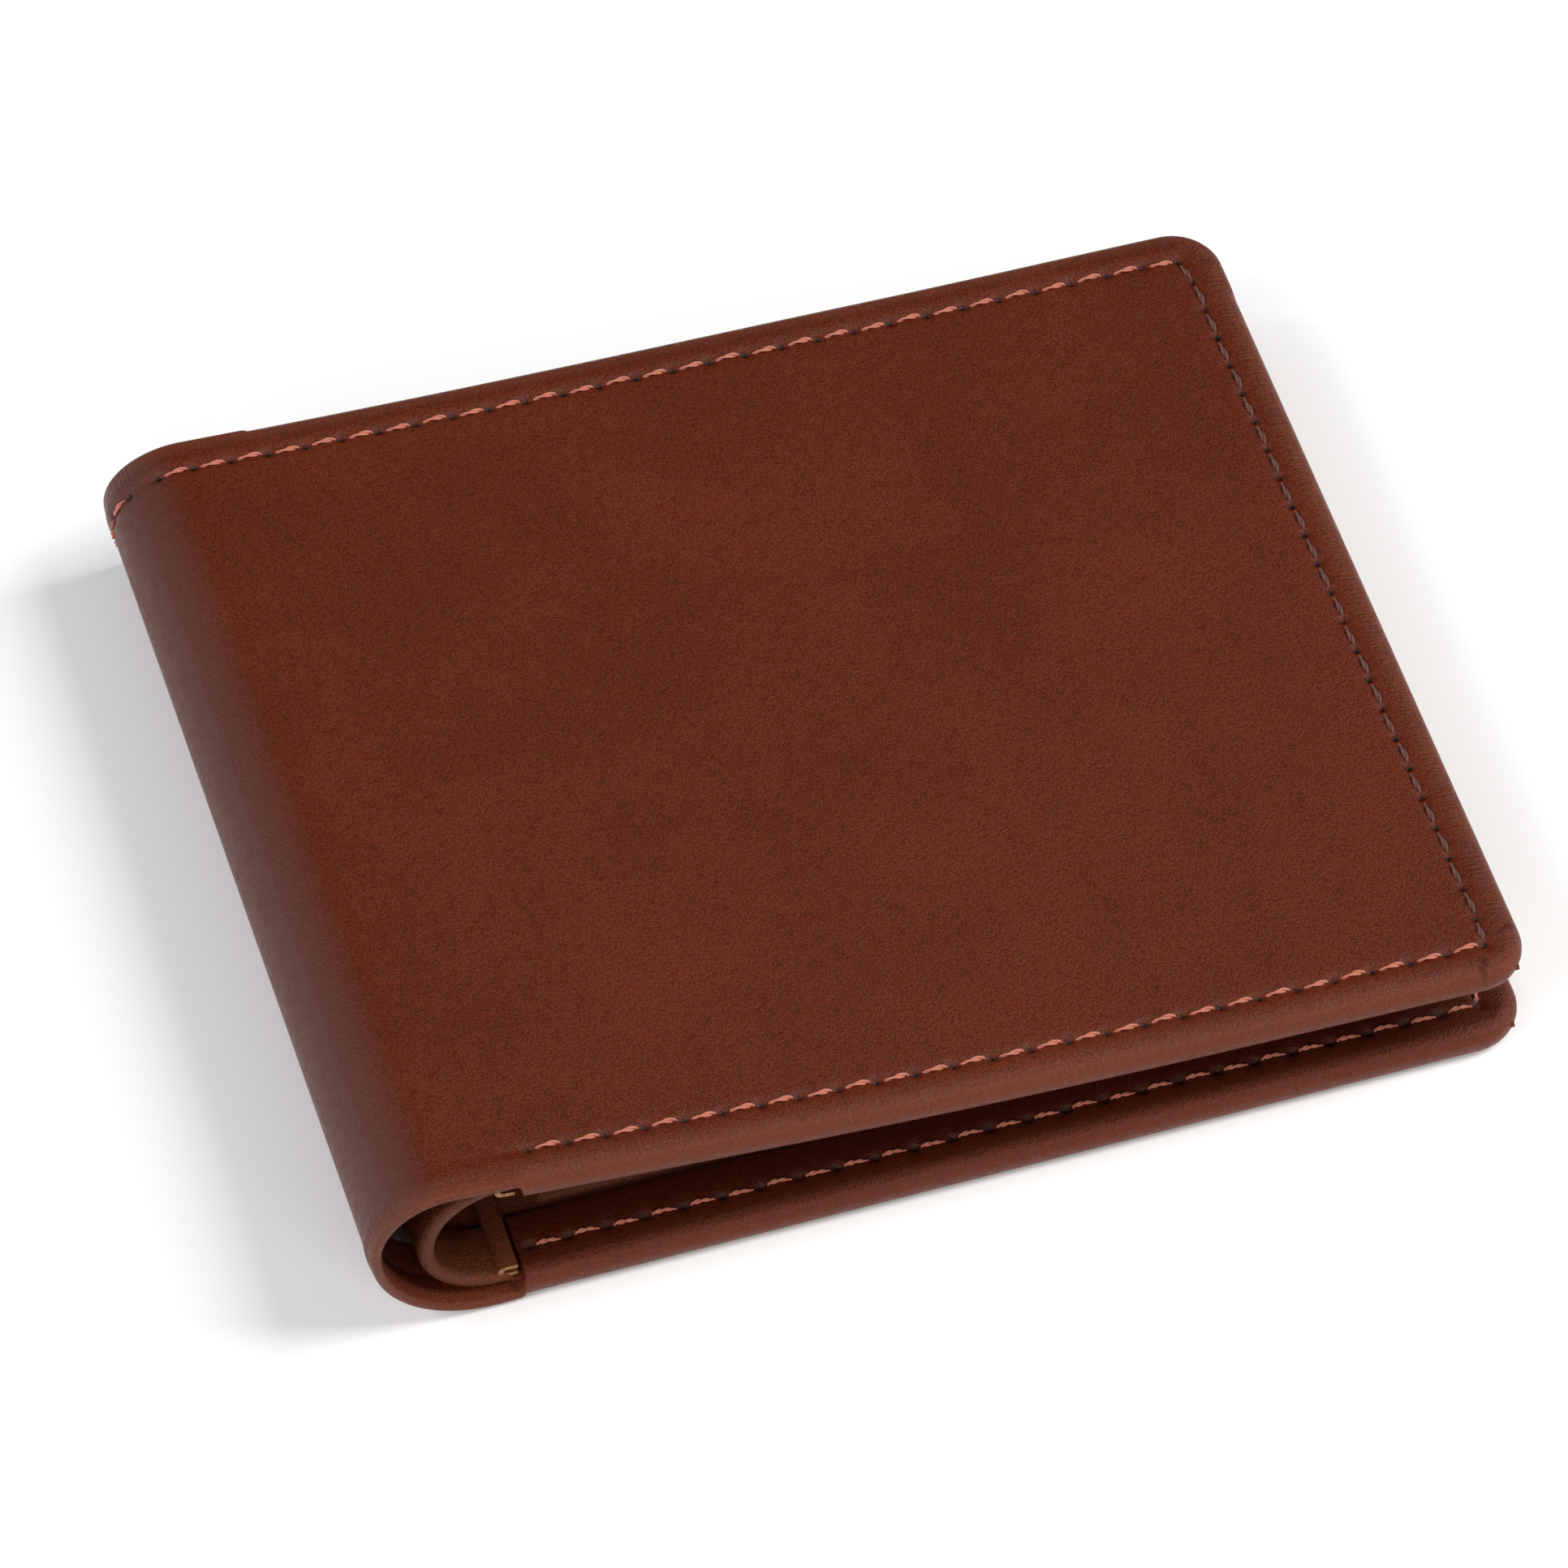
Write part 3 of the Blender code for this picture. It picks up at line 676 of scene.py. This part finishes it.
def inner_section(rolled):
    """Closed outline across the sheet, as (y, depth): the bottom edge is turned over if rolled is 1."""
    thin = 0.5 * MM
    thick = thin + 1.15 * MM * rolled
    upper = inner_high - 0.25 * MM
    points = [(upper, 0), (20 * MM, 0), (0, 0), (-20 * MM, 0), (-38 * MM, 0), (-44 * MM, 0)]
    radius = thick / 2
    for degrees in range(-90, 91, 18):
        angle = math.radians(degrees)
        points.append((inner_low + radius * (1 - math.cos(angle)), radius * (1 + math.sin(angle))))
    points += [(-45.6 * MM, thick), (-43.5 * MM, thick), (-41.5 * MM, thick - 0.04 * MM)]
    points += [(-40.8 * MM, thin + 0.55 * MM * rolled), (-40.6 * MM, thin + 0.1 * MM * rolled)]
    points += [(-38 * MM, thin), (-20 * MM, thin), (0, thin), (20 * MM, thin), (upper, thin)]
    points.append((inner_high, thin / 2))
    return points


def loft(rings):
    """A closed mesh through rings of points with the same count."""
    bm = bmesh.new()
    rows = [[bm.verts.new(point) for point in ring] for ring in rings]
    count = len(rows[0])
    for lower, upper in zip(rows, rows[1:]):
        for i in range(count):
            j = (i + 1) % count
            bm.faces.new((lower[i], lower[j], upper[j], upper[i]))
    bm.faces.new(rows[0][::-1])
    bm.faces.new(rows[-1])
    return bm


kid = leather("kid", (0.062, 0.0115, 0.0036), (0.15, 0.036, 0.009), 0.46, 1.6, 0.7, 0.0)
inner_cuts = [inner.s_at(turn) for turn in strip_turns[1:4]]
inner_starts = [inner_s("back", 1.25 * MM), *inner_cuts, inner_s("front", 1.25 * MM)]
roll_start, roll_end = inner_s("back", 99.9 * MM), inner_s("front", 99.3 * MM)
for part, label in enumerate(part_names):
    low, high = inner_starts[part], inner_starts[part + 1]
    near_spine = np.arange(max(low, roll_start - 3 * MM), min(high, roll_end + 3 * MM), 0.35 * MM)
    stations = sorted({low, *np.arange(low, high, 4 * MM), *near_spine, high})
    stations = [s for i, s in enumerate(stations) if i == 0 or s - stations[i - 1] > 1e-6]
    rings = []
    for s in stations:
        rolled = float(ease((s - roll_start) / (1.2 * MM)) * ease((roll_end - s) / (1.2 * MM)))
        rings.append([(s, y, w) for y, w in inner_section(rolled)])
    piece = place_leather(f"inner_leather_{label}", loft(rings), inner, kid)
    bend_with(piece, part, inner, 1.7 * MM)
    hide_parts(*(f"{body}_inner_panel" for body in outer_nodes[part]))

# --- Card slots ------------------------------------------------------------------------------------
# Each cover holds two leaves of thin leather, one behind the other, and a front leaf over them.
# The front leaf's rim is caught under the hem, and its edge next to the spine is turned over.

dark_kid = leather("dark_kid", (0.062, 0.0135, 0.0065), (0.095, 0.021, 0.009), 0.42, 1.35, 0.0)


def on_cover(side, flat):
    """World points on a cover of points given as (from the free edge, y, depth)."""
    s = s_back + flat[:, 0] if side == "back" else s_front - flat[:, 0]
    return outer.wrap(np.column_stack((s, flat[:, 1], flat[:, 2])))


def finish_leaf(piece, side, surface, node):
    map_points(piece, lambda co: on_cover(side, co))
    select_only(piece)
    bpy.ops.object.mode_set(mode="EDIT")
    bpy.ops.mesh.select_all(action="SELECT")
    bpy.ops.mesh.normals_make_consistent(inside=False)
    bpy.ops.object.mode_set(mode="OBJECT")
    bpy.ops.object.shade_smooth_by_angle(angle=math.radians(50))
    piece.data.materials.append(surface)
    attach(piece, f"{side}_cover")
    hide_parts(node)


def pocket_leaf(side, name, top, low_depth, high_depth):
    """One leaf: a thin sheet with rounded edges, its open edge a little hollow for the thumb."""
    bpy.ops.object.select_all(action="DESELECT")
    u0, u1, y0 = 8.75 * MM, 94.15 * MM, -38.7 * MM
    centre = ((u0 + u1) / 2, (y0 + top) / 2, (low_depth + high_depth) / 2)
    bpy.ops.mesh.primitive_cube_add(size=1, location=(0, 0, 0))
    piece = bpy.context.object
    piece.name = f"{side}_{name}"
    size = (u1 - u0, top - y0, high_depth - low_depth)
    map_points(piece, lambda co: co * np.array(size) + np.array(centre))
    select_only(piece)
    rounding = piece.modifiers.new("rounding", "BEVEL")
    rounding.width = 0.36 * size[2]
    rounding.segments = 3
    bpy.ops.object.modifier_apply(modifier=rounding.name)
    bpy.ops.object.mode_set(mode="EDIT")
    bpy.ops.mesh.select_all(action="SELECT")
    for k in range(1, 24):
        place = u0 + (u1 - u0) * k / 24
        bpy.ops.mesh.select_all(action="SELECT")
        bpy.ops.mesh.bisect(plane_co=(place, 0, 0), plane_no=(1, 0, 0))
    bpy.ops.object.mode_set(mode="OBJECT")

    def hollow(co):
        share = np.clip((co[:, 0] - u0) / (u1 - u0), 0, 1)
        dip = 1.1 * MM * np.sin(np.pi * share) ** 2 * (co[:, 1] > top - 1 * MM)
        return co - np.column_stack((0 * dip, dip, 0 * dip))

    map_points(piece, hollow)
    finish_leaf(piece, side, dark_kid, f"{side}_cover_{name}")


def front_leaf(side):
    """The leaf in front: flat rim under the hem, a soft step up over the leaves behind it."""
    near = -height / 2
    spread = np.concatenate((
        np.linspace(2.6, 6.6, 5), np.linspace(7.2, 9.6, 13), np.linspace(12, 91, 40),
        np.linspace(93.2, 96.0, 13), np.linspace(96.6, 100.9, 6),
    )) * MM
    rows = np.concatenate((
        near + np.linspace(2.6, 7.4, 5) * MM, near + np.linspace(8.0, 10.6, 14) * MM,
        np.linspace(near + 12 * MM, 5.4 * MM, 26), [5.7 * MM, 5.9 * MM, 6.0 * MM],
    ))
    u, y = np.meshgrid(spread, rows)
    rise = ease((u / MM - 7.5) / 1.2) * ease((96.0 - u / MM) / 1.6) * ease(((y - near) / MM - 8.7) / 1.3)
    lip = np.clip((y - 5.55 * MM) / (0.45 * MM), 0, 1) ** 2
    top_depth = (2.35 + 3.25 * rise) * MM - 0.4 * MM * lip * rise
    low_rise = ease((u / MM - 8.3) / 0.9) * ease((95.3 - u / MM) / 0.9) * ease(((y - near) / MM - 9.3) / 0.7)
    low_depth = (2.05 + 2.5 * low_rise) * MM + 0.15 * MM * lip * rise
    low_depth = np.minimum(low_depth, top_depth - 0.28 * MM)
    bm = bmesh.new()
    sheets = []
    for depth in (top_depth, low_depth):
        sheets.append([[bm.verts.new((u[j, i], y[j, i], depth[j, i])) for i in range(u.shape[1])]
                       for j in range(u.shape[0])])
    for k, grid in enumerate(sheets):
        for j in range(len(grid) - 1):
            for i in range(len(grid[0]) - 1):
                cell = (grid[j][i], grid[j][i + 1], grid[j + 1][i + 1], grid[j + 1][i])
                bm.faces.new(cell if k else cell[::-1])
    rims = []
    for grid in sheets:
        right = [row[-1] for row in grid[1:-1]]
        left = [row[0] for row in grid[1:-1]]
        rims.append(grid[0] + right + grid[-1][::-1] + left[::-1])
    count = len(rims[0])
    for i in range(count):
        j = (i + 1) % count
        bm.faces.new((rims[0][i], rims[0][j], rims[1][j], rims[1][i]))
    mesh = bpy.data.meshes.new(f"{side}_card_panel")
    bm.to_mesh(mesh)
    bm.free()
    piece = bpy.data.objects.new(mesh.name, mesh)
    bpy.context.scene.collection.objects.link(piece)
    finish_leaf(piece, side, dark_kid, f"{side}_cover_card_panel")


def raw_leather():
    n = Nodes("raw_edge")
    fibres = n.noise(n.place(), 5200.0, 3.0, 0.7)
    n.set(n.shader, "Base Color", n.mix(n.span(fibres, 0.4, 0.65), (0.16, 0.06, 0.02), (0.42, 0.2, 0.075)))
    n.shader.inputs["Roughness"].default_value = 0.8
    bump = n.add("ShaderNodeBump", Height=fibres, Strength=0.8, Distance=0.0001)
    n.set(n.shader, "Normal", bump.outputs[0])
    return n.material


raw_edge = raw_leather()


def turned_fold(side):
    """The front leaf's edge next to the spine, folded over on itself, its cut ends left raw."""
    outline = []
    centre, top = 101.0, 2.95
    for degrees in range(90, 271, 15):
        angle = math.radians(degrees)
        outline.append((centre - 0.1 - 0.72 * math.cos(angle) * 1.15, top - 0.72 * math.sin(angle)))
    outline += [(99.75, top + 0.72), (99.75, top + 0.3)]
    for degrees in range(270, 89, -15):
        angle = math.radians(degrees)
        outline.append((centre - 0.1 - 0.26 * math.cos(angle) * 1.15, top - 0.26 * math.sin(angle)))
    outline += [(99.75, top - 0.3), (99.75, top - 0.72)]
    rings = []
    for y in np.linspace(-47.0, 5.8, 60) * MM:
        rings.append([(u * MM, y, (w + 0.05 * math.sin(900 * y)) * MM) for u, w in outline])
    bm = loft(rings)
    mesh = bpy.data.meshes.new(f"{side}_card_panel_fold")
    bm.to_mesh(mesh)
    bm.free()
    piece = bpy.data.objects.new(mesh.name, mesh)
    bpy.context.scene.collection.objects.link(piece)
    finish_leaf(piece, side, dark_kid, f"{side}_cover_card_panel")
    piece.data.materials.append(raw_edge)
    for face in piece.data.polygons:
        if abs(face.normal.y) > 0.9:
            face.material_index = 1


for side in ("back", "front"):
    pocket_leaf(side, "card_pocket_1", 28 * MM, 2.42 * MM, 3.18 * MM)
    pocket_leaf(side, "card_pocket_2", 17 * MM, 3.52 * MM, 4.28 * MM)
    front_leaf(side)
    turned_fold(side)

# --- Sewing thread ---------------------------------------------------------------------------------
# Two-ply twisted salmon thread, lockstitched through all layers at 3.75 mm. Each stitch dives into
# its holes, thin where it comes up and plump where it goes down. The inside shows a tighter twist.


def thread_material(name, bright, dark):
    n = Nodes(name)
    place = n.place()
    fibres = n.noise(place, 9000.0, 3.0, 0.7)
    sunk = n.attribute("sunk")
    base = n.mix(n.span(fibres, 0.35, 0.7), [c * 0.6 for c in bright], bright)
    # Painted shade: the thread darkens where it sinks into its holes.
    n.set(n.shader, "Base Color", n.mix(n.span(sunk, 0.35, 1.0), base, dark))
    n.shader.inputs["Roughness"].default_value = 0.55
    n.shader.inputs["Sheen Weight"].default_value = 0.3
    bump = n.add("ShaderNodeBump", Height=fibres, Strength=0.6, Distance=0.00006)
    n.set(n.shader, "Normal", bump.outputs[0])
    return n.material


coral = thread_material("coral_thread", (0.60, 0.175, 0.105), (0.09, 0.02, 0.012))
# Painted shade: a darker copy of the same thread, used for the rows along the free edges.
shaded_coral = thread_material("shaded_coral_thread", (0.12, 0.028, 0.02), (0.03, 0.008, 0.005))


def stitch_form(turns, thick, steps=9, sides=6):
    """One stitch, from 0 to 1 along x: two plies twisted round each other. Also how sunk it is."""
    points, faces, sunk = [], [], []
    for ply in (0, 1):
        first = len(points)
        for i in range(steps + 1):
            x = i / steps
            swell = (0.5 + 0.5 * min(1.0, 1.6 * x)) * (1 - 0.35 * max(0.0, (x - 0.93) / 0.07))
            twist = math.pi * (2 * turns * x + ply)
            high = math.sin(math.pi * x) ** 0.55
            centre_y = 0.5 * thick * swell * math.cos(twist)
            centre_z = 0.5 * thick * swell * math.sin(twist)
            for k in range(sides):
                angle = 2 * math.pi * k / sides
                points.append((
                    x,
                    centre_y + 0.56 * thick * swell * math.cos(angle),
                    centre_z + 0.56 * thick * swell * math.sin(angle),
                ))
                sunk.append(1 - high)
        for i in range(steps):
            for k in range(sides):
                low, high_row = first + i * sides, first + (i + 1) * sides
                after = (k + 1) % sides
                faces.append((low + k, high_row + k, high_row + after, low + after))
        faces.append(tuple(first + k for k in range(sides)))
        faces.append(tuple(first + steps * sides + k for k in reversed(range(sides))))
    return np.array(points), faces, np.array(sunk)


def sew(name, holes, face, form, surface, part, nodes, flip=False):
    """Lays one copy of the stitch between each two holes, and wraps the row onto the leather."""
    shape, shape_faces, sunk = form
    points, faces, depth_share = [], [], []
    toward = -1 if face == "outside" else 1
    for number, (a, b) in enumerate(zip(holes, holes[1:])):
        if flip:
            a, b = b, a
        a, b = np.array(a), np.array(b)
        run = b - a
        length = np.hypot(*run)
        if length < 0.5 * MM:
            continue
        ahead = run / length
        across = np.array((-ahead[1], ahead[0]))
        wobble = 0.10 * MM * math.sin(2.4 * number + len(holes))
        x = 0.12 + 0.76 * shape[:, 0]
        slant = 0.22 * MM * (shape[:, 0] - 0.5)
        spot = a + run * x[:, None] + across * (shape[:, 1] + slant + wobble * np.sin(math.pi * x))[:, None]
        rise = (0.56 * np.sin(math.pi * shape[:, 0]) ** 0.45 - 0.46) * MM
        surface_depth = np.zeros(len(spot)) + 0.05 * MM
        if face == "inside":
            surface_depth = hem_depth(spot[:, 0], spot[:, 1]) - 0.02 * MM
        depth = surface_depth + toward * (rise + shape[:, 2])
        faces += [tuple(len(points) * len(shape) + i for i in loop) for loop in shape_faces]
        points.append(np.column_stack((spot, depth)))
        depth_share.append(sunk)
    flat = np.concatenate(points)
    mesh = bpy.data.meshes.new(name)
    mesh.from_pydata(outer.wrap(flat).tolist(), [], faces)
    layer = mesh.attributes.new("sunk", "FLOAT", "POINT")
    layer.data.foreach_set("value", np.concatenate(depth_share).astype(np.float32))
    mesh.materials.append(surface)
    piece = bpy.data.objects.new(name, mesh)
    bpy.context.scene.collection.objects.link(piece)
    select_only(piece)
    bpy.ops.object.mode_set(mode="EDIT")
    bpy.ops.mesh.select_all(action="SELECT")
    bpy.ops.mesh.normals_make_consistent(inside=False)
    bpy.ops.object.mode_set(mode="OBJECT")
    bpy.ops.object.shade_smooth()
    bend_with(piece, part, outer, 1.8 * MM)
    if nodes:
        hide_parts(*nodes)
    return piece


outside_form = stitch_form(0.9, 0.26 * MM)
inside_form = stitch_form(1.6, 0.24 * MM)
for side, part in (("back", 0), ("front", 3)):
    holes = hole_rows[side]
    bottom = [h for h in holes if h[1] < -44 * MM]
    corner_free = [h for h in holes if abs(h[0] - (s_back if side == "back" else s_front)) < 4.6 * MM]
    spine_side = cuts[1] if side == "back" else cuts[3]
    mouth = [h for h in holes if h[1] > 44 * MM]
    beyond = [h for h in mouth if (h[0] > spine_side if side == "back" else h[0] < spine_side)]
    on_side = [h for h in mouth if (h[0] <= spine_side if side == "back" else h[0] >= spine_side)]
    lean = side == "back"
    outer_node = f"{side}_cover_outer_thread"
    inner_node = f"{side}_cover_inner_thread"
    sew(f"{side}_bottom_stitches", bottom, "outside", outside_form, coral, part, [outer_node], lean)
    sew(f"{side}_free_stitches", corner_free, "outside", outside_form, shaded_coral, part, [outer_node], True)
    strip_nodes = [f"spine_{1 if side == 'back' else 3}_outer_thread"]
    sew(f"{side}_mouth_stitches", on_side, "outside", outside_form, coral, part, strip_nodes, not lean)
    covers_only = [h for h in mouth if abs(h[0] - (s_back if side == "back" else s_front)) < hem_slit]
    inside_holes = [*bottom, *corner_free, *covers_only]
    unique = []
    for hole in inside_holes:
        if not any(np.allclose(hole, other) for other in unique):
            unique.append(hole)
    sew(f"{side}_inside_stitches", unique, "inside", inside_form, coral, part, [inner_node], lean)

mouth_row = [tuple(h) for h in all_holes if h[1] > 44 * MM]
crossing = sorted(h for h in mouth_row if cuts[1] - 3 * MM < h[0] < cuts[3] + 3 * MM)
for part in (1, 2):
    low, high = cuts[part], cuts[part + 1]
    inside = [h for h in crossing if low - 2.4 * MM <= h[0] <= high + 2.4 * MM]
    label = part_names[part]
    strip_nodes = [f"spine_{part + 1}_outer_thread"] if part == 1 else []
    sew(f"{label}_mouth_stitches", inside, "outside", outside_form, coral, part, strip_nodes, True)
    nodes = ["spine_1_inner_thread", "spine_2_inner_thread"] if part == 1 else ["spine_3_inner_thread"]
    sew(f"{label}_inside_stitches", inside, "inside", inside_form, coral, part, nodes, True)

low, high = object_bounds()
